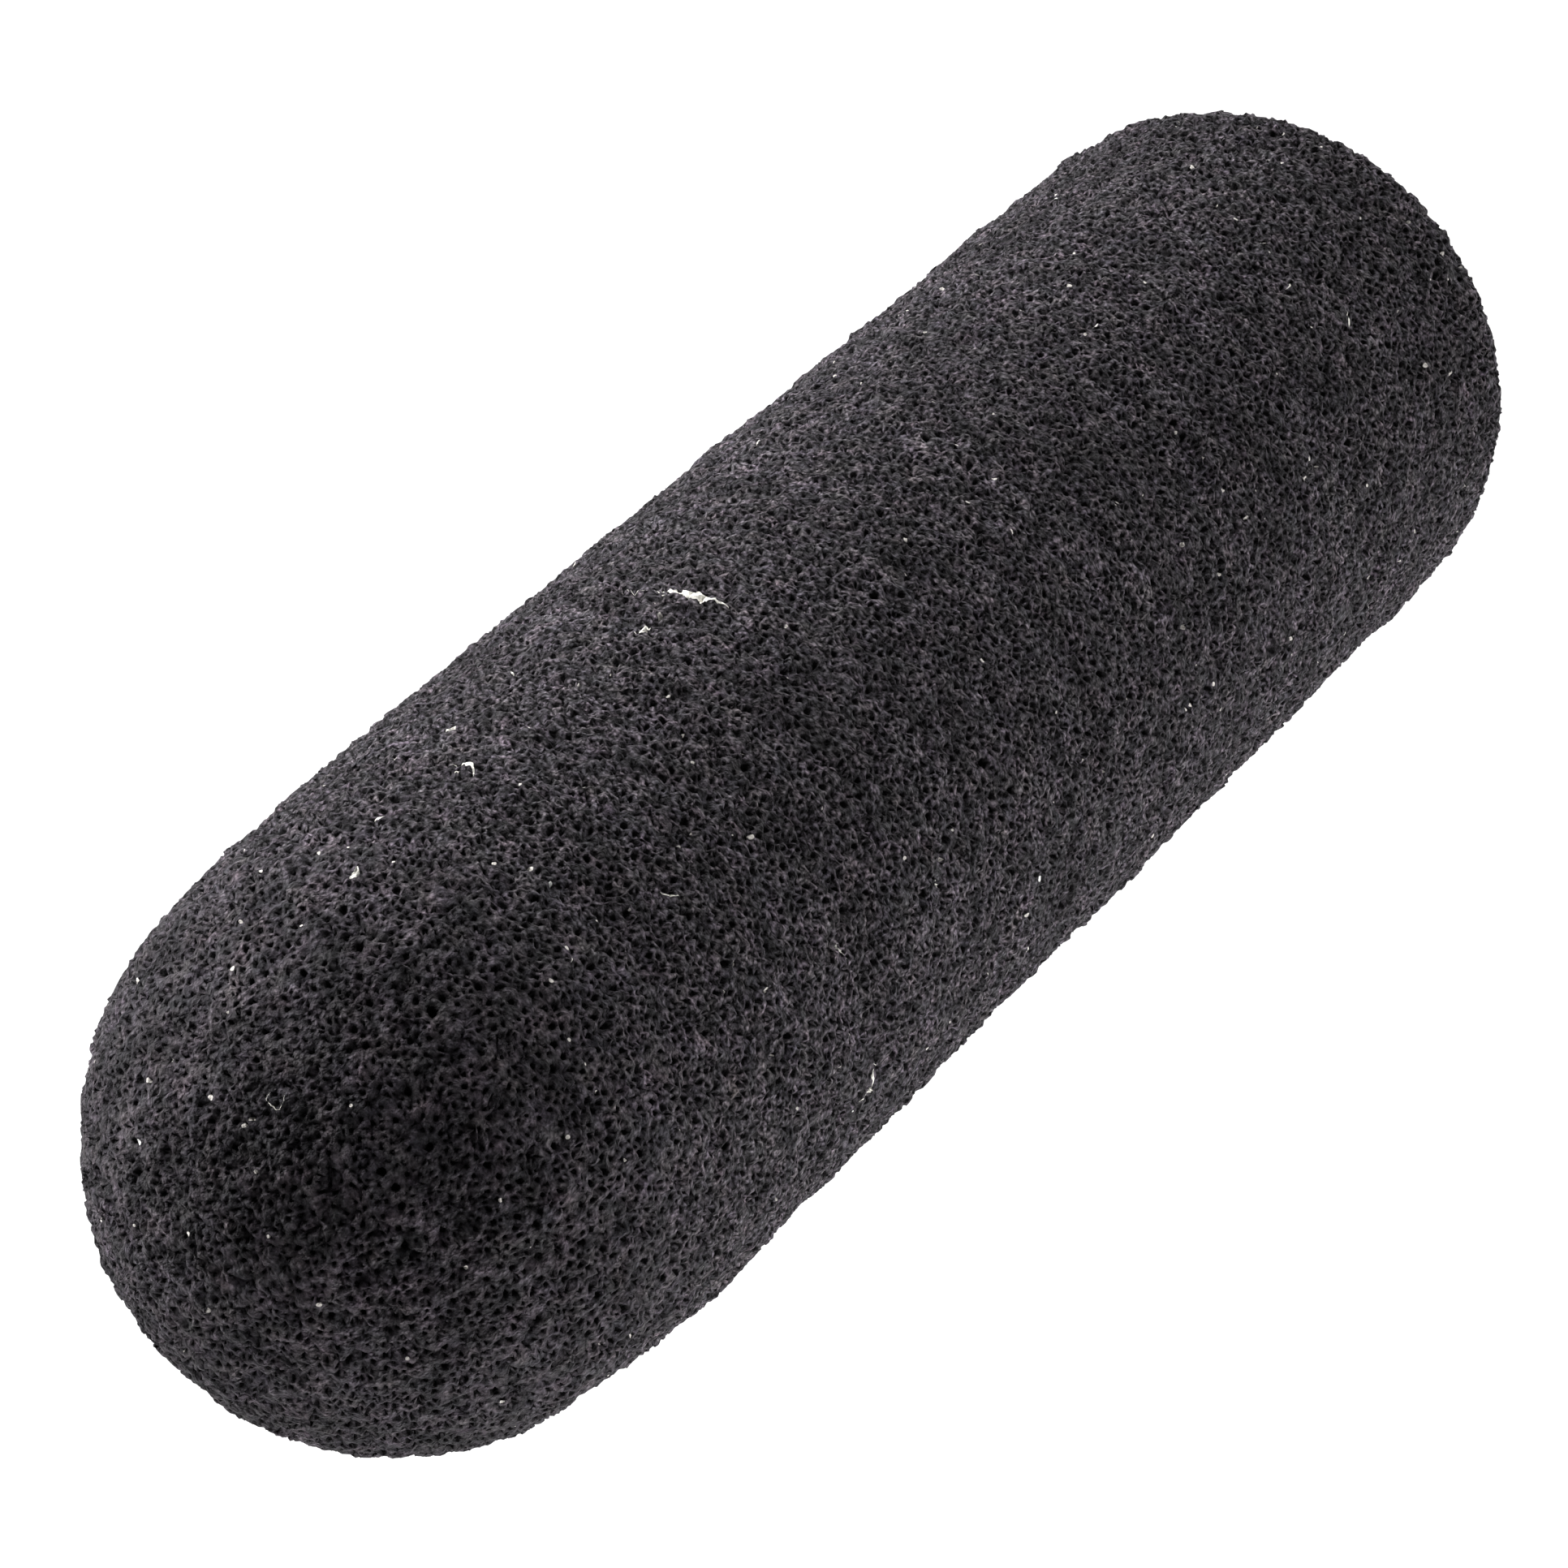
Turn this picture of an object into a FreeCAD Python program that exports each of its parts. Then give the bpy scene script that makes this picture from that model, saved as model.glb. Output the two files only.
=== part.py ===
"""Foam blending stump: a round-nosed rod of turned black foam on a stiff wooden core.

The stump stands on its flat back. The origin is the centre of the back face and +Z runs along
the axis to the nose. All sizes are in millimetres.
"""

import FreeCAD, Part
import math
import os
from FreeCAD import Vector

# Outside of the turned foam
BODY_DIAMETER = 12.0
BODY_LENGTH = 48.0
NOSE_CAP_INSET = 0.26        # the nose cap's radius is this much less than the barrel's
NOSE_SHOULDER_RADIUS = 38.6  # long curve that carries the barrel into the nose cap
BACK_EDGE_RADIUS = 1.5       # rounded rim of the flat back

# Inside of the foam
CORE_DIAMETER = 3.2
CORE_END_BEVEL = 0.3
NOSE_FOAM_LENGTH = 12.0      # solid foam left ahead of the bore, so that the nose stays soft
GLUE_THICKNESS = 0.15        # film between the core and the wall of the bore
PLUG_LENGTH = 4.0
PLUG_CLEARANCE = 0.04        # between the plug and the wall of the bore

# Places and sizes that follow from those above
BODY_RADIUS = BODY_DIAMETER / 2
CORE_RADIUS = CORE_DIAMETER / 2
BORE_RADIUS = CORE_RADIUS + GLUE_THICKNESS
BORE_DEPTH = BODY_LENGTH - NOSE_FOAM_LENGTH
CORE_BACK = PLUG_LENGTH
CORE_FRONT = BORE_DEPTH - GLUE_THICKNESS
FACE_OVERRUN = 1.0           # how far a cutting tool starts outside the face that it cuts

UP = Vector(0, 0, 1)


def at(radius, height):
    """A point of the half section, which lies in the XZ plane."""
    return Vector(radius, 0, height)


def arc(centre, radius, start_angle, end_angle):
    """Arc of the half section; angles are measured from +X towards +Z, in radians."""
    points = []
    for angle in (start_angle, (start_angle + end_angle) / 2, end_angle):
        points.append(centre + at(radius * math.cos(angle), radius * math.sin(angle)))
    return Part.Arc(*points).toShape()


def cylinder(radius, bottom, top):
    return Part.makeCylinder(radius, top - bottom, at(0, bottom), UP)


def foam_outside():
    """Barrel with a rounded back rim and a blunt nose.

    The shoulder arc is tangent to the barrel and to the nose cap, so the line through the two
    arcs' centres meets the outline where they join.
    """
    cap_radius = BODY_RADIUS - NOSE_CAP_INSET
    cap_centre = at(0, BODY_LENGTH - cap_radius)
    between_centres = NOSE_SHOULDER_RADIUS - cap_radius
    shoulder_offset = NOSE_SHOULDER_RADIUS - BODY_RADIUS
    shoulder_rise = math.sqrt(between_centres**2 - shoulder_offset**2)
    shoulder_centre = cap_centre - at(shoulder_offset, shoulder_rise)
    join_angle = math.atan2(shoulder_rise, shoulder_offset)
    rim_centre = at(BODY_RADIUS - BACK_EDGE_RADIUS, BACK_EDGE_RADIUS)
    quarter_turn = math.pi / 2

    outline = [
        Part.makeLine(at(0, BODY_LENGTH), at(0, 0)),
        Part.makeLine(at(0, 0), at(rim_centre.x, 0)),
        arc(rim_centre, BACK_EDGE_RADIUS, -quarter_turn, 0),
        Part.makeLine(at(BODY_RADIUS, BACK_EDGE_RADIUS), at(BODY_RADIUS, shoulder_centre.z)),
        arc(shoulder_centre, NOSE_SHOULDER_RADIUS, 0, join_angle),
        arc(cap_centre, cap_radius, join_angle, quarter_turn),
    ]
    return revolve(outline)


def revolve(outline):
    face = Part.Face(Part.Wire(outline))
    return face.revolve(at(0, 0), UP, 360)


def foam_body():
    """Turned foam with a blind bore drilled from the back."""
    return foam_outside().cut(cylinder(BORE_RADIUS, -FACE_OVERRUN, BORE_DEPTH))


def core_rod():
    """Round wooden rod, bevelled at both ends so that it slides in without tearing the foam."""
    rod = cylinder(CORE_RADIUS, CORE_BACK, CORE_FRONT)
    ends = []
    for edge in rod.Edges:
        if edge.BoundBox.ZLength < CORE_END_BEVEL:
            ends.append(edge)
    return rod.makeChamfer(CORE_END_BEVEL, ends)


def core_glue():
    """Film of glue on the core's side and front end, which fills the rest of the bore."""
    return cylinder(BORE_RADIUS, CORE_BACK, BORE_DEPTH).cut(core_rod())


def back_plug():
    """Foam plug that closes the bore behind the core, flush with the back face."""
    return cylinder(BORE_RADIUS - PLUG_CLEARANCE, 0, PLUG_LENGTH)


def main():
    os.makedirs("parts", exist_ok=True)
    pieces = {
        "foam_body": foam_body(),
        "core_rod": core_rod(),
        "core_glue": core_glue(),
        "back_plug": back_plug(),
    }
    for name, shape in pieces.items():
        shape.exportStep("parts/" + name + ".step")
        print(name, "valid", shape.isValid(), "solids", len(shape.Solids), "mm3", round(shape.Volume, 2))


main()
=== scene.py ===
"""Looks of the foam blending stump: a turned foam rod with a round nose, on a hidden wooden core.

The stump stands on its flat back at the origin, with its axis on +Z. All lengths are in metres.
"""

import math

import bpy
import numpy as np
from mathutils import Matrix, Vector, noise
from mathutils.geometry import delaunay_2d_cdt


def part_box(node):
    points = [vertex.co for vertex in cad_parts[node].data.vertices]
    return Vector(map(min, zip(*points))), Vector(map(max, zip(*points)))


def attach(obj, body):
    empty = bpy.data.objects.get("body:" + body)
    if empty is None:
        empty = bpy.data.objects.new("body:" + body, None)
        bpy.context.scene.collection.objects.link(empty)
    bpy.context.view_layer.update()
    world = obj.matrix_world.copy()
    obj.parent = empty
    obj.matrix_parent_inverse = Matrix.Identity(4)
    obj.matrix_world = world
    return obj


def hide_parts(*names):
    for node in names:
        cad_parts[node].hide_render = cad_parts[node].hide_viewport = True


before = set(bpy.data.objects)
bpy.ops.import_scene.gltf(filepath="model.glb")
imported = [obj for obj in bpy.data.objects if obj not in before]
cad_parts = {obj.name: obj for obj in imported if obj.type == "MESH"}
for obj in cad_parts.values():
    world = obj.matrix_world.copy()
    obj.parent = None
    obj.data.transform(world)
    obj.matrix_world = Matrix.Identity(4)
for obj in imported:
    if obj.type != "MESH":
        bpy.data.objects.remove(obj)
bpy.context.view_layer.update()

MM = 0.001

# Places read from the frame
PLUG_LOW, PLUG_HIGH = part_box("back_plug")
BORE_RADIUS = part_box("core_glue")[1].x
BORE_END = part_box("core_glue")[1].z
BODY_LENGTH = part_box("foam_body")[1].z

OUTLINE_STEPS = 6000         # points kept along a turned outline
OUTLINE_SMOOTHING = 25       # of them that share in each point's normal

# Foam cells
CELL_SPACING = 0.175 * MM
CELL_JITTER = 0.45           # of the spacing, each way
MISSING_CELLS = 0.18         # share of the cells that have run into their neighbours
SMALLEST_PIT = 0.46          # pit radius as a share of the room inside the cell
LARGEST_PIT = 0.96
NOSE_CLOSING = 0.26          # how much smaller the pits are at the tip, where it is ground finest
CORNERED = 0.45              # from 0, round pits, to 1, pits with the corners of their cells
PIT_DEPTH = 1.1              # depth of a pit as a share of its width
DEPTH_RANGE = (0.6, 1.1)     # of that depth, from pit to pit
FLOOR_SHARE = 0.62           # width of a pit's floor as a share of its mouth
FLOOR_SINK = 0.75            # depth at the floor's edge as a share of the depth at its middle
MOUTH_SHADE = 0.25           # how deep a pit's mouth and its floor's edge count as for the painted pit shade, from 0 to 1
FLOOR_SHADE = 0.85
LIP_UNEVENNESS = 0.25        # of the pit's radius
LIP_FOLLOWS = 0.7            # share of a wall corner's drop that the lip beside it takes
TORN_WALLS = 0.32            # share of the wall corners that are torn down
TORN_DEPTH = 0.1 * MM        # of the deepest tear
LEAST_TEAR = 0.3             # of that depth
WALL_ROUGHNESS = 0.07 * MM
SKIN_GROWTH = 0.045 * MM     # the walls' mean height over the turned outline
MOUTH_DEPTH = 0.4 * MM       # how far the cells run on into the bore

# Marks on the ground surface: depth and length of each
RINGS = (0.065 * MM, 1.5 * MM)
WAVES = (0.05 * MM, 3.2 * MM)
LUMPS = (0.08 * MM, 0.6 * MM)
GRAINS = (0.075 * MM, 0.28 * MM)
RING_DRIFT = 0.3             # how far a ring and a wave change on their way round the rod
WAVE_DRIFT = 0.6
NOSE_SMOOTHING = 0.5         # how much fainter the marks are at the tip
PATCH_LENGTH = 0.8 * MM      # patches of larger and smaller cells
PATCH_CONTRAST = 0.8
PATCH_SHARE = 0.4            # share of a pit's size that its patch decides

FOAM_SEED = 11
PLUG_SEED = 12

# Camera and light
OFF_AXIS = math.radians(34)  # between the stump's axis and the line of sight
# Direction from the stump back to the camera
LOOK_BACK = Vector((0, -math.sin(OFF_AXIS), math.cos(OFF_AXIS)))
SIDES_BEHIND = 0.3           # how far the two side lamps stand behind the stump
LEFT = (Vector((1, 0, 0)) - SIDES_BEHIND * LOOK_BACK).normalized()
RIGHT = (Vector((-1, 0, 0)) - SIDES_BEHIND * LOOK_BACK).normalized()
SIDE_SPREAD = (0.7, 0.98)    # cosines at which a lamp's patch of light starts and is full
BACK_SPREAD = (-0.75, 0.1)
LEFT_STRENGTH = 25.0
RIGHT_STRENGTH = 12.0
BACK_STRENGTH = 1.25
TENT_STRENGTH = 0.10
FLOOR_RADIUS = 0.6
FLOOR_GAP = 0.17 * MM        # just past the walls of the foam that stand out under the flat back
FLOOR_GLOW = 1.7

# Foam colours
DARK_GRAIN = (0.0040, 0.0034, 0.0041, 1)
PALE_GRAIN = (0.190, 0.168, 0.194, 1)
# Painted shade: the colour that the pits are darkened to, over the shade that their depth gives.
PIT_PAINTED_SHADE = (0.0020, 0.0017, 0.0020, 1)
MIDDLE_GREY = (0.5, 0.5, 0.5, 1)
DUST_COLOUR = (0.55, 0.52, 0.49, 1)
FLECK_COLOUR = (0.75, 0.75, 0.73, 1)
LINT_COLOUR = (0.80, 0.78, 0.72, 1)
PIT_SHADE_FULL_AT = 0.42              # the share of a pit's depth at which its painted shade is full black

# The foam's look changes between these heights (mm). In each pair, the first value is the
# barrel's and the second the tip's.
NOSE_LOOK = (BODY_LENGTH / MM - 8, BODY_LENGTH / MM - 2)
LEAST_TONE = (-0.08, 0.12)
MOST_TONE = (1.2, 0.75)
# Painted shade: the walls' colour is made darker towards the tip, which faces the dim side of the studio.
NOSE_PAINTED_SHADE = (1.0, 0.76)

# The lint that catches the eye: way from the nose tip (whole mm), turn round the axis and lean
# from the axis (steps of 5 degrees), radius of its curl, length and thickness (mm)
LARGE_LINT = [
    # Fluff
    (21, 310, 90, 2.0, 1.60, 0.36),
    (14, 325, 20, 0.8, 0.30, 0.25),
    (10, 320, 60, 0.6, 0.36, 0.32),
    (8, 315, 10, 0.8, 0.36, 0.26),
    # Hairs
    (21, 320, 90, 1.2, 0.80, 0.05),
    (3, 310, 90, 0.17, 0.62, 0.018),
    (16, 240, 60, 0.45, 0.50, 0.055),
    (17, 210, -65, 0.5, 0.95, 0.09),
    (12, 270, 55, 0.6, 0.50, 0.06),
]
SMALL_LINT = 26              # pieces, scattered all over
FLUFFY = 0.4                 # share of them that are fluff, the rest being hairs
LINT_SEED = 14
LINT_WOBBLE = 0.07           # mm


# ---------------------------------------------------------------- foam skin


def foam_outline():
    """Half outline of the foam body, from the tip of the nose round to the mouth of the bore."""
    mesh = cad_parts["foam_body"].data
    places = np.array([v.co for v in mesh.vertices])
    radius = np.hypot(places[:, 0], places[:, 1])
    height = places[:, 2]
    close = 0.002 * MM
    in_bore = (radius < BORE_RADIUS + close) & (height > close) & (height < BORE_END + close)
    outside = np.round(np.stack([radius, height], 1)[~in_bore] / close) * close
    outside = np.unique(outside, axis=0)
    order = np.lexsort((-outside[:, 0], -outside[:, 1]))
    points = [(0.0, BODY_LENGTH)]
    points += [tuple(p) for p in outside[order] if p[0] > CELL_SPACING]
    points.append((BORE_RADIUS, MOUTH_DEPTH))
    return np.array(points)


def plug_outline():
    """Half outline of the plug as if its outer face looked up, from the middle of that face."""
    radius = PLUG_HIGH.x
    length = PLUG_HIGH.z - PLUG_LOW.z
    edge = 0.08 * MM
    return np.array([(0.0, 0.0), (radius - edge, 0.0), (radius, -edge), (radius, -length)])


def smoothed(values):
    """Running mean over OUTLINE_SMOOTHING values, with as many values as before."""
    window = np.ones(OUTLINE_SMOOTHING) / OUTLINE_SMOOTHING
    return np.convolve(np.pad(values, OUTLINE_SMOOTHING // 2, mode="edge"), window, "valid")


class Lathe:
    """A turned surface: place, outward normal and flat map of any point along its outline."""

    def __init__(self, outline):
        steps = np.hypot(*np.diff(outline, axis=0).T)
        along = np.concatenate([[0], np.cumsum(steps)])
        self.length = along[-1]
        self.s = np.linspace(0, self.length, OUTLINE_STEPS)
        self.r = np.interp(self.s, along, outline[:, 0])
        self.z = np.interp(self.s, along, outline[:, 1])
        slope_r = smoothed(np.gradient(self.r))
        slope_z = smoothed(np.gradient(self.z))
        size = np.hypot(slope_r, slope_z)
        self.normal_r = -slope_z / size
        self.normal_z = slope_r / size
        stretch = 1 / np.maximum(self.r, CELL_SPACING / 8)
        grown = np.cumsum(stretch) * (self.s[1] - self.s[0])
        self.log_scale = grown - grown[-1]

    def radius(self, s):
        return np.interp(s, self.s, self.r)

    def place(self, s, turn):
        r = np.interp(s, self.s, self.r)
        z = np.interp(s, self.s, self.z)
        return np.stack([r * np.cos(turn), r * np.sin(turn), z], 1)

    def normal(self, s, turn):
        r = np.interp(s, self.s, self.normal_r)
        z = np.interp(s, self.s, self.normal_z)
        return np.stack([r * np.cos(turn), r * np.sin(turn), z], 1)

    def flat(self, s, turn):
        """Map to a disc that keeps angles, so that neighbours there are neighbours on the skin."""
        scale = np.exp(np.interp(s, self.s, self.log_scale))
        return np.stack([scale * np.cos(turn), scale * np.sin(turn)], 1)


def cell_centres(lathe, draw):
    """Uneven rows of cells round the axis, one cell to each CELL_SPACING square."""
    along = []
    turns = []
    rows = int(lathe.length / CELL_SPACING)
    for row in range(rows):
        s = (row + 0.5) * lathe.length / rows
        count = max(1, round(2 * math.pi * lathe.radius(s) / CELL_SPACING))
        shift = draw.uniform(-CELL_JITTER, CELL_JITTER, (2, count))
        turns.append((np.arange(count) + shift[0] + draw.uniform()) * 2 * math.pi / count)
        along.append(s + shift[1] * CELL_SPACING)
    return np.concatenate(along), np.concatenate(turns)


def neighbours(flat):
    """Triangles between neighbouring cells, and a mark on the cells at the open edge."""
    points = [Vector(p) for p in flat]
    found = delaunay_2d_cdt(points, [], [], 0, 1e-9, True)
    origin = np.array([ids[0] for ids in found[3]])
    triangles = origin[np.array(found[2])]
    edges = np.concatenate([triangles[:, [0, 1]], triangles[:, [1, 2]], triangles[:, [2, 0]]])
    edges = np.sort(edges, 1)
    unique, uses = np.unique(edges, axis=0, return_counts=True)
    at_edge = np.zeros(len(flat), bool)
    at_edge[unique[uses == 1].ravel()] = True
    return triangles, at_edge


def ground_marks(places, s, turn):
    """Height of the rings left by turning, the slower waves and the small lumps of the skin."""
    marks = np.empty(len(s))
    for i in range(len(s)):
        across = Vector((0, math.cos(turn[i]), math.sin(turn[i])))
        ring = noise.noise(Vector((s[i] / RINGS[1], 0, 0)) + across * RING_DRIFT)
        wave = noise.noise(Vector((s[i] / WAVES[1], 5, 9)) + across * WAVE_DRIFT)
        lump = noise.noise(Vector(places[i]) / LUMPS[1])
        grain = noise.noise(Vector(places[i]) / GRAINS[1])
        marks[i] = RINGS[0] * ring + WAVES[0] * wave + LUMPS[0] * lump + GRAINS[0] * grain
    return marks


def patches(places):
    """From 0 to 1, how open the foam is round each place."""
    apart = Vector((7, 3, 1))  # so that the patches don't follow the lumps
    found = [noise.noise(Vector(place) / PATCH_LENGTH + apart) for place in places]
    return np.clip(0.5 + PATCH_CONTRAST * np.array(found), 0, 1)


def unit(vectors):
    return vectors / np.linalg.norm(vectors, axis=-1, keepdims=True)


class Cells:
    """Cells scattered over a turned outline: their centres on the skin and who is whose neighbour."""

    def __init__(self, outline, draw):
        lathe = Lathe(outline)
        s, turn = cell_centres(lathe, draw)
        kept = draw.uniform(size=len(s)) > MISSING_CELLS
        s, turn = s[kept], turn[kept]
        self.flat = lathe.flat(s, turn)
        self.triangles, self.at_edge = neighbours(self.flat)
        self.normal = lathe.normal(s, turn)
        place = lathe.place(s, turn)
        self.open_here = patches(place)
        # The nose is where the body faces up. The plug's face, at height zero, isn't part of it.
        self.nose = np.clip(self.normal[:, 2], 0, 1) * (place[:, 2] > 0)
        marks = ground_marks(place, s, turn) * (1 - NOSE_SMOOTHING * self.nose)
        self.centre = place + self.normal * (marks + SKIN_GROWTH)[:, None]


class Corners:
    """Tops of the walls: one stands between each three neighbouring cells."""

    def __init__(self, cells, draw):
        self.place = cells.centre[cells.triangles].mean(1)
        self.up = unit(cells.normal[cells.triangles].mean(1))
        torn = draw.uniform(size=len(self.place)) < TORN_WALLS
        self.drop = torn * draw.uniform(LEAST_TEAR, 1, len(self.place)) * TORN_DEPTH
        self.drop += draw.uniform(0, 1, len(self.place)) * WALL_ROUGHNESS


class Rings:
    """The wall corners that each closed cell meets, in order round its centre.

    Every entry pairs one cell with one corner; after is the entry of the next corner round.
    """

    def __init__(self, cells):
        cell = cells.triangles.ravel()
        meets = np.repeat(np.arange(len(cells.triangles)), 3)
        closed = ~cells.at_edge[cell]
        cell, meets = cell[closed], meets[closed]
        towards = cells.flat[cells.triangles].mean(1)[meets] - cells.flat[cell]
        order = np.lexsort((np.arctan2(towards[:, 1], towards[:, 0]), cell))
        self.cell, self.meets = cell[order], meets[order]
        self.closed_cells, self.first, sides = np.unique(
            self.cell, return_index=True, return_counts=True
        )
        self.after = np.arange(1, len(cell) + 1)
        self.after[self.first + sides - 1] = self.first
        self.own = np.repeat(np.arange(len(self.closed_cells)), sides)


def room_in_cells(rings, spoke):
    """Radius of the largest circle round each cell's centre that stays within its corners."""
    after = spoke[rings.after]
    reach = np.linalg.norm(np.cross(spoke, after), axis=1)
    reach /= np.linalg.norm(after - spoke, axis=1)
    return np.minimum.reduceat(reach, rings.first)


def pit_places(cells, corners, rings, draw):
    """Places of the pits' mouths, floors and bottoms, and of the same points flush with the skin."""
    closed = rings.closed_cells
    centre = cells.centre[rings.cell]
    up = cells.normal[rings.cell]
    spoke = corners.place[rings.meets] - centre
    inner_radius = room_in_cells(rings, spoke)
    size = (1 - PATCH_SHARE) * draw.uniform(size=len(closed)) + PATCH_SHARE * cells.open_here[closed]
    opened = SMALLEST_PIT + (LARGEST_PIT - SMALLEST_PIT) * size
    opened *= 1 - NOSE_CLOSING * cells.nose[closed]
    radius = inner_radius * opened
    depth = 2 * radius * PIT_DEPTH * draw.uniform(*DEPTH_RANGE, len(closed))

    own = rings.own
    uneven = draw.uniform(1 - LIP_UNEVENNESS, 1, len(own))
    room = (1 - CORNERED) * inner_radius[own] + CORNERED * np.linalg.norm(spoke, axis=1)
    mouth = centre + unit(spoke) * (room * opened[own] * uneven)[:, None]
    floor = centre + unit(spoke) * (radius[own] * FLOOR_SHARE)[:, None]
    flush = [mouth, floor, cells.centre[closed]]

    lip_drop = LIP_FOLLOWS * corners.drop[rings.meets]
    lip_drop += draw.uniform(0, 1, len(own)) * WALL_ROUGHNESS
    sunk_mouth = mouth - up * lip_drop[:, None]
    sunk_floor = floor - up * (depth[own] * FLOOR_SINK + lip_drop)[:, None]
    bottom = cells.centre[closed] - cells.normal[closed] * depth[:, None]
    return [sunk_mouth, sunk_floor, bottom], flush


def foam_skin(name, outline, seed):
    """Open-celled skin over a turned outline: each cell is a ring of wall round an open pit."""
    draw = np.random.default_rng(seed)
    cells = Cells(outline, draw)
    corners = Corners(cells, draw)
    rings = Rings(cells)
    sunk, flush = pit_places(cells, corners, rings, draw)
    used, meets = np.unique(rings.meets, return_inverse=True)
    top = (corners.place - corners.up * corners.drop[:, None])[used]

    after = rings.after
    mouths = len(top) + np.arange(len(after))
    floors = mouths[-1] + 1 + np.arange(len(after))
    bottoms = floors[-1] + 1 + rings.own
    walls = np.stack([meets, meets[after], mouths[after], mouths], 1)
    pit_sides = np.stack([mouths, mouths[after], floors[after], floors], 1)
    pit_bases = np.stack([floors, floors[after], bottoms], 1)

    mesh = bpy.data.meshes.new(name)
    fill_mesh(mesh, np.concatenate([top] + sunk), [walls, pit_sides, pit_bases])
    # Painted shade: each ring's depth share, which the foam's colour turns near black in the pits.
    levels = zip([top] + sunk, (0.0, MOUTH_SHADE, FLOOR_SHADE, 1.0))
    shade = np.concatenate([np.full(len(places), value) for places, value in levels])
    mesh.attributes.new("pit", "FLOAT", "POINT").data.foreach_set("value", shade)
    skin = np.concatenate([corners.place[used]] + flush)
    mesh.attributes.new("skin", "FLOAT_VECTOR", "POINT").data.foreach_set("vector", skin.ravel())
    piece = bpy.data.objects.new(name, mesh)
    bpy.context.collection.objects.link(piece)
    return piece


def fill_mesh(mesh, places, groups):
    """Fill an empty mesh with vertices and with groups of faces of one size each."""
    corners = np.concatenate([g.ravel() for g in groups])
    sizes = np.concatenate([np.full(len(g), g.shape[1]) for g in groups])
    mesh.vertices.add(len(places))
    mesh.vertices.foreach_set("co", places.ravel())
    mesh.loops.add(len(corners))
    mesh.loops.foreach_set("vertex_index", corners)
    mesh.polygons.add(len(sizes))
    mesh.polygons.foreach_set("loop_start", np.cumsum(sizes) - sizes)
    mesh.update(calc_edges=True)
    mesh.validate()


def edit(piece, mode):
    """Open a piece for editing with nothing selected."""
    bpy.ops.object.select_all(action="DESELECT")
    bpy.context.view_layer.objects.active = piece
    piece.select_set(True)
    bpy.ops.object.mode_set(mode="EDIT")
    bpy.ops.mesh.select_mode(type=mode)
    bpy.ops.mesh.select_all(action="DESELECT")


def close_inside(piece, depth):
    """Carry the open edge of a skin straight in to a given height and close it there."""
    edit(piece, "EDGE")
    bpy.ops.mesh.select_non_manifold()
    bpy.ops.mesh.extrude_region_move()
    bpy.ops.object.mode_set(mode="OBJECT")
    for vertex in piece.data.vertices:
        if vertex.select:
            vertex.co.z = depth
    bpy.ops.object.mode_set(mode="EDIT")
    bpy.ops.mesh.edge_face_add()
    bpy.ops.object.mode_set(mode="OBJECT")
    piece.data.shade_smooth()


def make_foam_body():
    body = foam_skin("turned_foam", foam_outline(), FOAM_SEED)
    close_inside(body, BORE_END)
    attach(body, "root")
    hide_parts("foam_body")
    return body


def make_plug():
    """The plug's skin is made face up and turned over into its place."""
    plug = foam_skin("foam_plug", plug_outline(), PLUG_SEED)
    close_inside(plug, PLUG_LOW.z - PLUG_HIGH.z)
    plug.data.transform(Matrix.Rotation(math.pi, 4, "X"))
    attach(plug, "root")
    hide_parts("back_plug")
    return plug


# ---------------------------------------------------------------- materials


def new_material(name):
    material = bpy.data.materials.new(name)
    material.use_nodes = True
    return material, material.node_tree


def add(tree, kind, inputs=(), **settings):
    """Add a node; inputs maps a socket's name or number to a value or another node's socket."""
    node = tree.nodes.new(kind)
    for key, value in settings.items():
        setattr(node, key, value)
    for key, value in dict(inputs).items():
        if isinstance(value, bpy.types.NodeSocket):
            tree.links.new(value, node.inputs[key])
        else:
            node.inputs[key].default_value = value
    return node


def remap(tree, value, low, high, to_low, to_high):
    """Carry a value from one range to another, held within the second, and return its socket."""
    node = add(tree, "ShaderNodeMapRange", {0: value, 1: low, 2: high, 3: to_low, 4: to_high})
    return node.outputs[0]


def maths(tree, operation, *values):
    node = add(tree, "ShaderNodeMath", dict(enumerate(values)), operation=operation)
    return node.outputs[0]


def vector_maths(tree, operation, first, second):
    node = add(tree, "ShaderNodeVectorMath", {0: first, 1: second}, operation=operation)
    return node.outputs[1 if operation in ("DISTANCE", "DOT_PRODUCT") else 0]


def scaled(tree, vector, factor):
    node = add(tree, "ShaderNodeVectorMath", {0: vector, "Scale": factor}, operation="SCALE")
    return node.outputs[0]


def bumpy(tree, height, distance, strength=1.0):
    """Normal of a bump, from its height, how high it stands in metres, and its strength."""
    values = {"Height": height, "Distance": distance, "Strength": strength}
    return add(tree, "ShaderNodeBump", values).outputs[0]


def new_group(name, inputs, outputs):
    """Empty shader group with named sockets; inputs maps a name to its kind and first value."""
    tree = bpy.data.node_groups.new(name, "ShaderNodeTree")
    for label, (kind, value) in inputs.items():
        socket = tree.interface.new_socket(label, in_out="INPUT", socket_type=kind)
        if value is not None:
            socket.default_value = value
    for label, kind in outputs.items():
        tree.interface.new_socket(label, in_out="OUTPUT", socket_type=kind)
    return tree, tree.nodes.new("NodeGroupInput"), tree.nodes.new("NodeGroupOutput")


def place_in_mm(tree):
    """Object coordinates in millimetres, so that pattern scales read as so many to the millimetre."""
    place = add(tree, "ShaderNodeTexCoord").outputs["Object"]
    return add(tree, "ShaderNodeMapping", {"Vector": place, "Scale": (1 / MM,) * 3}).outputs[0]


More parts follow.
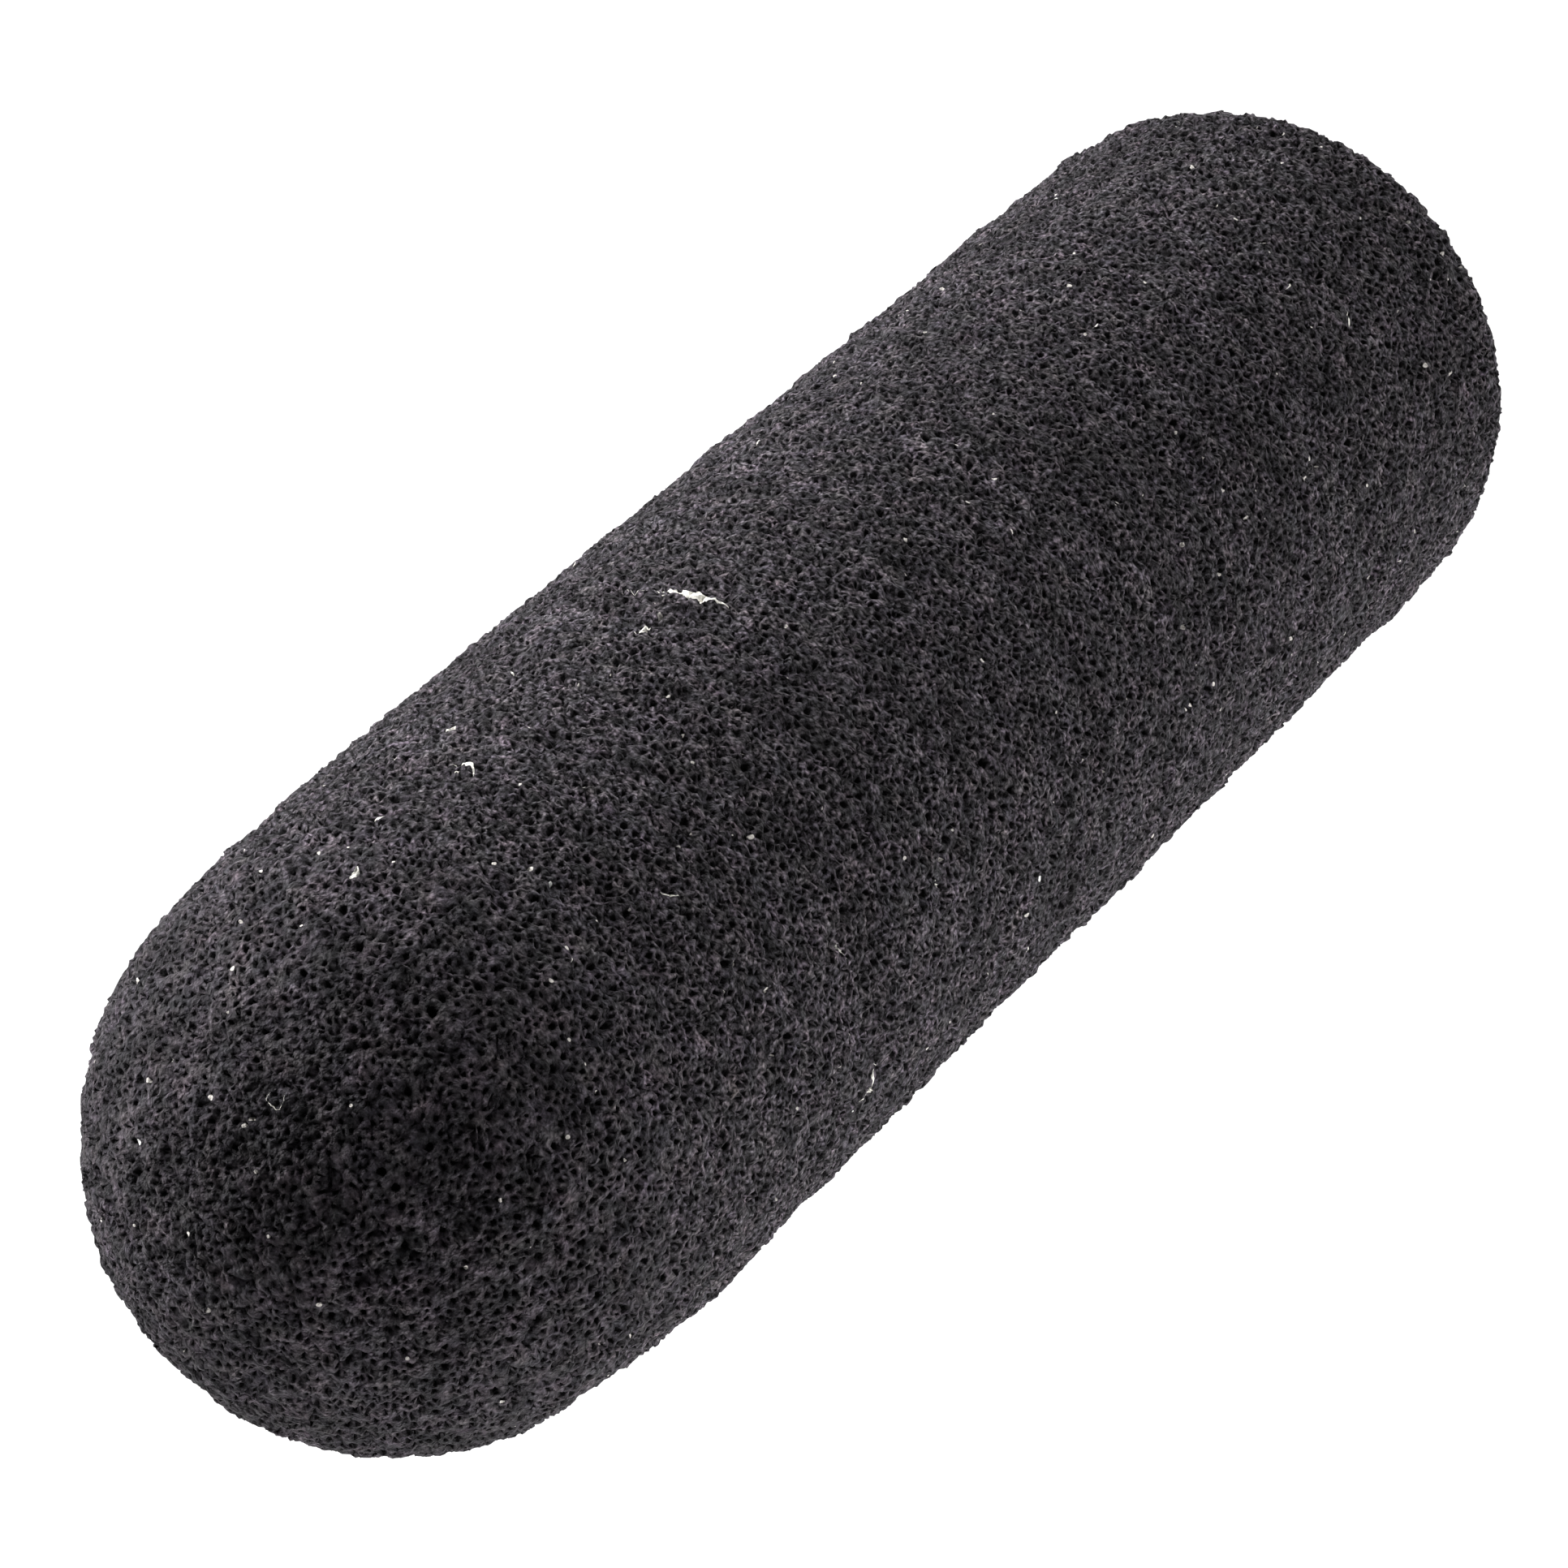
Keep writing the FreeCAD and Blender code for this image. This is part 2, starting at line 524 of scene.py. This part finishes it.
def grain_group():
    """Fine round grains: a height and a tone that rise together at each grain."""
    tree, given, out = new_group(
        "fine_grains",
        {"Place": ("NodeSocketVector", None), "Scale": ("NodeSocketFloat", 8.0)},
        {"Height": "NodeSocketFloat", "Tone": "NodeSocketFloat"},
    )
    place, scale = given.outputs["Place"], given.outputs["Scale"]
    cells = add(tree, "ShaderNodeTexVoronoi", {"Vector": place, "Scale": scale})
    grain = remap(tree, cells.outputs["Distance"], 0.1, 0.75, 1.0, 0.0)
    finer = maths(tree, "MULTIPLY", scale, 1.7)
    fuzz = add(tree, "ShaderNodeTexNoise", {"Vector": place, "Scale": finer, "Detail": 2.0})
    crumbs = remap(tree, fuzz.outputs["Fac"], 0.3, 0.7, 0.0, 1.0)
    height = maths(tree, "MULTIPLY", maths(tree, "ADD", grain, crumbs), 0.5)
    tree.links.new(height, out.inputs["Height"])
    # The tone rises with each grain's height, lightest on its top. On the foam this is partly painted
    # highlight; on the birch it marks the pores.
    tree.links.new(maths(tree, "POWER", height, 1.7), out.inputs["Tone"])
    return tree


def specks_group():
    """Scattered flecks of dust; Share is how many of the possible places hold one."""
    tree, given, out = new_group(
        "specks",
        {
            "Place": ("NodeSocketVector", None),
            "Scale": ("NodeSocketFloat", 5.0),
            "Share": ("NodeSocketFloat", 0.02),
            "Radius": ("NodeSocketFloat", 0.15),
        },
        {"Mask": "NodeSocketFloat"},
    )
    place, scale = given.outputs["Place"], given.outputs["Scale"]
    cells = add(tree, "ShaderNodeTexVoronoi", {"Vector": place, "Scale": scale})
    drawn = add(tree, "ShaderNodeSeparateColor", {0: cells.outputs["Color"]})
    chosen = maths(tree, "LESS_THAN", drawn.outputs[0], given.outputs["Share"])
    varied = remap(tree, drawn.outputs[1], 0.0, 1.0, 0.4, 1.0)
    radius = maths(tree, "MULTIPLY", given.outputs["Radius"], varied)
    near = maths(tree, "LESS_THAN", cells.outputs["Distance"], radius)
    tree.links.new(maths(tree, "MULTIPLY", chosen, near), out.inputs["Mask"])
    return tree


def lint_group():
    """One curled hair: the part of a thin ring about Curl that lies near Middle."""
    tree, given, out = new_group(
        "curled_hair",
        {
            "Place": ("NodeSocketVector", None),
            "Middle": ("NodeSocketVector", None),
            "Curl": ("NodeSocketVector", None),
            "Radius": ("NodeSocketFloat", 1.0),
            "Length": ("NodeSocketFloat", 0.5),
            "Thickness": ("NodeSocketFloat", 0.05),
        },
        {"Mask": "NodeSocketFloat"},
    )
    place = given.outputs["Place"]
    from_curl = vector_maths(tree, "DISTANCE", place, given.outputs["Curl"])
    off = maths(tree, "ABSOLUTE", maths(tree, "SUBTRACT", from_curl, given.outputs["Radius"]))
    from_middle = vector_maths(tree, "DISTANCE", place, given.outputs["Middle"])
    length, thickness = given.outputs["Length"], given.outputs["Thickness"]
    along = remap(tree, from_middle, 0.0, length, thickness, 0.0)
    tree.links.new(maths(tree, "LESS_THAN", off, along), out.inputs["Mask"])
    return tree


def small_lint():
    """Scattered fluff and hairs, each described in the same terms as those of LARGE_LINT."""
    draw = np.random.default_rng(LINT_SEED)
    found = []
    for fluffy in draw.uniform(size=SMALL_LINT) < FLUFFY:
        way = draw.uniform(5, 53)
        turn = draw.uniform(0, 360)
        lean = draw.uniform(-90, 90)
        curl = draw.uniform(0.4, 1.6)
        length = draw.uniform(0.18, 0.32) if fluffy else draw.uniform(0.35, 0.9)
        thickness = draw.uniform(0.12, 0.2) if fluffy else draw.uniform(0.04, 0.08)
        found.append((way, turn, lean, curl, length, thickness))
    return found


def lint_mask(tree, place):
    """Where the hairs and fluff lie on the foam."""
    wobble = add(tree, "ShaderNodeTexNoise", {"Vector": place, "Scale": 6.0, "Detail": 1.0})
    shift = vector_maths(tree, "SUBTRACT", wobble.outputs["Color"], (0.5, 0.5, 0.5))
    place = vector_maths(tree, "ADD", place, scaled(tree, shift, 2 * LINT_WOBBLE))
    lathe = Lathe(foam_outline())
    group = lint_group()
    mask = 0.0
    for way, turn, lean, curl, length, thickness in LARGE_LINT + small_lint():
        s = np.array([way * MM])
        turn = np.array([math.radians(turn)])
        middle = lathe.place(s, turn)[0] / MM
        outward = lathe.normal(s, turn)[0]
        around = np.array([-math.sin(turn[0]), math.cos(turn[0]), 0])
        onward = np.cross(around, outward)
        lean = math.radians(lean)
        centre = middle + curl * (math.cos(lean) * around + math.sin(lean) * onward)
        values = {"Place": place, "Middle": middle, "Curl": centre, "Radius": curl}
        values.update({"Length": length / 2, "Thickness": thickness / 2})
        hair = add(tree, "ShaderNodeGroup", values, node_tree=group)
        mask = maths(tree, "MAXIMUM", mask, hair.outputs["Mask"])
    return mask


def mix_colours(tree, share, first, second, blend="MIX"):
    """Mix two colours, each a socket or four numbers, and return the result's socket."""
    settings = {"data_type": "RGBA", "blend_type": blend}
    node = add(tree, "ShaderNodeMix", **settings)
    for socket, value in ((node.inputs[0], share), (node.inputs[6], first), (node.inputs[7], second)):
        if isinstance(value, bpy.types.NodeSocket):
            tree.links.new(value, socket)
        else:
            socket.default_value = value
    return node.outputs[2]


def multiplied(tree, colour, factor):
    return mix_colours(tree, 1.0, colour, factor, "MULTIPLY")


def foam_walls(tree, place, skin, tone):
    """Colour of the walls' tops: grains, lightest on their tops as partly painted highlight, clouds and
    rings, with painted shade darkening the nose, where the tone is also more even.
    """
    height = add(tree, "ShaderNodeSeparateXYZ", {0: skin}).outputs["Z"]
    least, most, painted_nose_shade = [
        remap(tree, height, *NOSE_LOOK, *pair) for pair in (LEAST_TONE, MOST_TONE, NOSE_PAINTED_SHADE)
    ]
    tone = remap(tree, tone, 0.0, 1.0, least, most)
    wall = mix_colours(tree, tone, DARK_GRAIN, PALE_GRAIN)
    cloud = add(tree, "ShaderNodeTexNoise", {"Vector": place, "Scale": 2.0, "Detail": 4.0})
    wall = multiplied(tree, wall, remap(tree, cloud.outputs["Fac"], 0.3, 0.7, 0.8, 3.0))
    flattened = add(tree, "ShaderNodeMapping", {"Vector": skin, "Scale": (0.3, 0.3, 1.0)}).outputs[0]
    band = add(
        tree, "ShaderNodeTexNoise",
        {"Vector": flattened, "Scale": 0.9, "Detail": 3.0, "Roughness": 0.65},
    )
    wall = multiplied(tree, wall, remap(tree, band.outputs["Fac"], 0.3, 0.7, 0.6, 1.4))
    # Painted shade: the walls are coloured darker towards the tip.
    wall = multiplied(tree, wall, painted_nose_shade)
    hue = mix_colours(tree, 0.16, MIDDLE_GREY, cloud.outputs["Color"])
    return multiplied(tree, wall, hue)


def with_specks(tree, colour, specks_tree, speck_colour, **values):
    """Lay specks over a colour; values are the inputs of the specks group."""
    specks = add(tree, "ShaderNodeGroup", values, node_tree=specks_tree)
    return mix_colours(tree, specks.outputs["Mask"], colour, speck_colour)


def paint_foam(grain_tree, specks_tree):
    """Black foam with painted shade making its pits near black, with dust, flecks and lint lying on it."""
    material, tree = new_material("black_foam")
    shader = tree.nodes["Principled BSDF"]
    place = place_in_mm(tree)
    skin = add(tree, "ShaderNodeAttribute", attribute_name="skin").outputs["Vector"]
    skin = scaled(tree, skin, 1 / MM)
    grain = add(tree, "ShaderNodeGroup", {"Place": place, "Scale": 9.0}, node_tree=grain_tree)
    # The grains' tone is partly random grain and partly painted highlight on the grain tops, standing in for
    # glints.
    wall = foam_walls(tree, place, skin, grain.outputs["Tone"])
    # Painted shade: the pits' colour runs to near black with their depth.
    depth = add(tree, "ShaderNodeAttribute", attribute_name="pit").outputs["Fac"]
    foam = mix_colours(tree, remap(tree, depth, 0.0, PIT_SHADE_FULL_AT, 0.0, 1.0), wall, PIT_PAINTED_SHADE)
    foam = with_specks(tree, foam, specks_tree, DUST_COLOUR, Place=skin, Scale=4.0, Share=0.06, Radius=0.23)
    foam = with_specks(tree, foam, specks_tree, FLECK_COLOUR, Place=skin, Scale=1.3, Share=0.05, Radius=0.09)
    colour = mix_colours(tree, lint_mask(tree, skin), foam, LINT_COLOUR)
    tree.links.new(colour, shader.inputs["Base Color"])
    tree.links.new(bumpy(tree, grain.outputs["Height"], 0.07 * MM), shader.inputs["Normal"])
    shader.inputs["Roughness"].default_value = 0.7
    shader.inputs["Specular IOR Level"].default_value = 0.08
    shader.inputs["Sheen Weight"].default_value = 0.02
    shader.inputs["Sheen Roughness"].default_value = 0.4
    shader.inputs["Sheen Tint"].default_value = (1.0, 0.92, 1.0, 1)
    return material


def paint_birch(grain_tree):
    """Pale turned birch: long grain along the rod, darker pores and end rings."""
    material, tree = new_material("birch_rod")
    shader = tree.nodes["Principled BSDF"]
    place = place_in_mm(tree)
    stretched = add(tree, "ShaderNodeMapping", {"Vector": place, "Scale": (2.2, 2.2, 0.12)}).outputs[0]
    figure = add(
        tree, "ShaderNodeTexNoise", {"Vector": stretched, "Scale": 1.5, "Detail": 5.0, "Distortion": 0.6}
    )
    rings = add(
        tree, "ShaderNodeTexWave",
        {"Vector": place, "Scale": 0.55, "Distortion": 2.5, "Detail": 2.0, "Detail Scale": 1.2},
        wave_type="RINGS", rings_direction="Z",
    )
    pores = add(tree, "ShaderNodeGroup", {"Place": stretched, "Scale": 5.0}, node_tree=grain_tree)
    pale_wood, brown_wood, ring_wood = (0.72, 0.52, 0.31, 1), (0.52, 0.33, 0.17, 1), (0.60, 0.40, 0.22, 1)
    wood = mix_colours(tree, figure.outputs["Fac"], pale_wood, brown_wood)
    wood = mix_colours(tree, rings.outputs["Fac"], wood, ring_wood)
    wood = multiplied(tree, wood, remap(tree, pores.outputs["Tone"], 0.0, 1.0, 0.72, 1.05))
    tree.links.new(wood, shader.inputs["Base Color"])
    tree.links.new(remap(tree, pores.outputs["Tone"], 0.0, 1.0, 0.75, 0.5), shader.inputs["Roughness"])
    tree.links.new(bumpy(tree, pores.outputs["Height"], 0.04 * MM, 0.6), shader.inputs["Normal"])
    return material


def paint_glue(grain_tree, specks_tree):
    """Dried white glue: milky, uneven, with small bubbles and crumbs of black foam."""
    material, tree = new_material("dried_glue")
    shader = tree.nodes["Principled BSDF"]
    place = place_in_mm(tree)
    cloud = add(tree, "ShaderNodeTexNoise", {"Vector": place, "Scale": 0.9, "Detail": 4.0}).outputs["Fac"]
    milk_white, dried_yellow = (0.80, 0.77, 0.68, 1), (0.62, 0.56, 0.42, 1)
    crumb_black = (0.02, 0.02, 0.02, 1)
    glue = mix_colours(tree, cloud, milk_white, dried_yellow)
    glue = with_specks(tree, glue, specks_tree, crumb_black, Place=place, Scale=2.5, Share=0.10, Radius=0.25)
    tree.links.new(glue, shader.inputs["Base Color"])
    bubbles = add(tree, "ShaderNodeGroup", {"Place": place, "Scale": 3.0}, node_tree=grain_tree)
    tree.links.new(remap(tree, cloud, 0.3, 0.7, 0.28, 0.55), shader.inputs["Roughness"])
    tree.links.new(bumpy(tree, bubbles.outputs["Height"], 0.06 * MM, 0.7), shader.inputs["Normal"])
    return material


# ---------------------------------------------------------------- studio


def make_floor():
    """White floor that glows more than it shows, and can be looked through from below."""
    bpy.ops.mesh.primitive_circle_add(
        vertices=96, radius=FLOOR_RADIUS, fill_type="NGON", location=(0, 0, -FLOOR_GAP)
    )
    floor = bpy.context.object
    floor.name = "floor"
    material, tree = new_material("white_floor")
    shader = tree.nodes["Principled BSDF"]
    shader.inputs["Base Color"].default_value = (0.2, 0.2, 0.2, 1)
    shader.inputs["Emission Color"].default_value = (1, 1, 1, 1)
    seen = add(tree, "ShaderNodeLightPath").outputs["Is Camera Ray"]
    glow = remap(tree, seen, 0.0, 1.0, FLOOR_GLOW, 1.0)
    tree.links.new(glow, shader.inputs["Emission Strength"])
    shader.inputs["Roughness"].default_value = 1
    shader.inputs["Specular IOR Level"].default_value = 0
    clear = add(tree, "ShaderNodeBsdfTransparent")
    below = add(tree, "ShaderNodeNewGeometry").outputs["Backfacing"]
    mix = add(tree, "ShaderNodeMixShader", {0: below, 1: shader.outputs[0], 2: clear.outputs[0]})
    tree.links.new(mix.outputs[0], tree.nodes["Material Output"].inputs["Surface"])
    floor.data.materials.append(material)


def lamp(tree, towards, aim, spread, strength):
    """Soft patch of light round a direction; spread is the cosines where it starts and is full."""
    facing = vector_maths(tree, "DOT_PRODUCT", towards, aim)
    patch = add(
        tree, "ShaderNodeMapRange", {0: facing, 1: spread[0], 2: spread[1], 3: 0.0, 4: strength},
        interpolation_type="SMOOTHSTEP",
    )
    return patch.outputs[0]


def make_light():
    """Dim white tent, brighter behind the stump and to its two sides."""
    world = bpy.data.worlds.new("studio")
    bpy.context.scene.world = world
    world.use_nodes = True
    tree = world.node_tree
    towards = add(tree, "ShaderNodeTexCoord").outputs["Generated"]
    light = lamp(tree, towards, LEFT, SIDE_SPREAD, LEFT_STRENGTH)
    light = maths(tree, "ADD", light, lamp(tree, towards, RIGHT, SIDE_SPREAD, RIGHT_STRENGTH))
    light = maths(tree, "ADD", light, lamp(tree, towards, -LOOK_BACK, BACK_SPREAD, BACK_STRENGTH))
    light = maths(tree, "ADD", light, TENT_STRENGTH)
    seen = add(tree, "ShaderNodeLightPath").outputs["Is Camera Ray"]
    background = tree.nodes["Background"]
    background.inputs["Color"].default_value = (1, 1, 1, 1)
    tree.links.new(maths(tree, "MAXIMUM", light, seen), background.inputs["Strength"])


def make_camera():
    """The camera looks down on the nose, well off the axis, rolled so that it points low left."""
    roll = math.radians(132.17)
    distance = 178.3 * MM
    aside = (0.595 * MM, 0.449 * MM)
    right = Vector((1, 0, 0))
    above = LOOK_BACK.cross(right)
    turned = Matrix.Rotation(-roll, 3, LOOK_BACK) @ Matrix((right, above, LOOK_BACK)).transposed()
    middle = Vector((0, 0, BODY_LENGTH / 2))
    data = bpy.data.cameras.new("camera")
    data.sensor_width = 36
    data.lens = 207.2
    data.clip_start = 0.01
    camera = bpy.data.objects.new("camera", data)
    bpy.context.collection.objects.link(camera)
    place = middle + turned @ Vector((-aside[0], -aside[1], distance))
    camera.matrix_world = Matrix.Translation(place) @ turned.to_4x4()
    bpy.context.scene.camera = camera


def main():
    make_camera()
    make_light()
    make_floor()
    grain_tree = grain_group()
    specks_tree = specks_group()
    foam = paint_foam(grain_tree, specks_tree)
    for piece in (make_foam_body(), make_plug()):
        piece.data.materials.append(foam)
    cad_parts["core_rod"].material_slots[0].material = paint_birch(grain_tree)
    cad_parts["core_glue"].material_slots[0].material = paint_glue(grain_tree, specks_tree)
    bpy.context.scene.view_settings.view_transform = "Standard"


main()
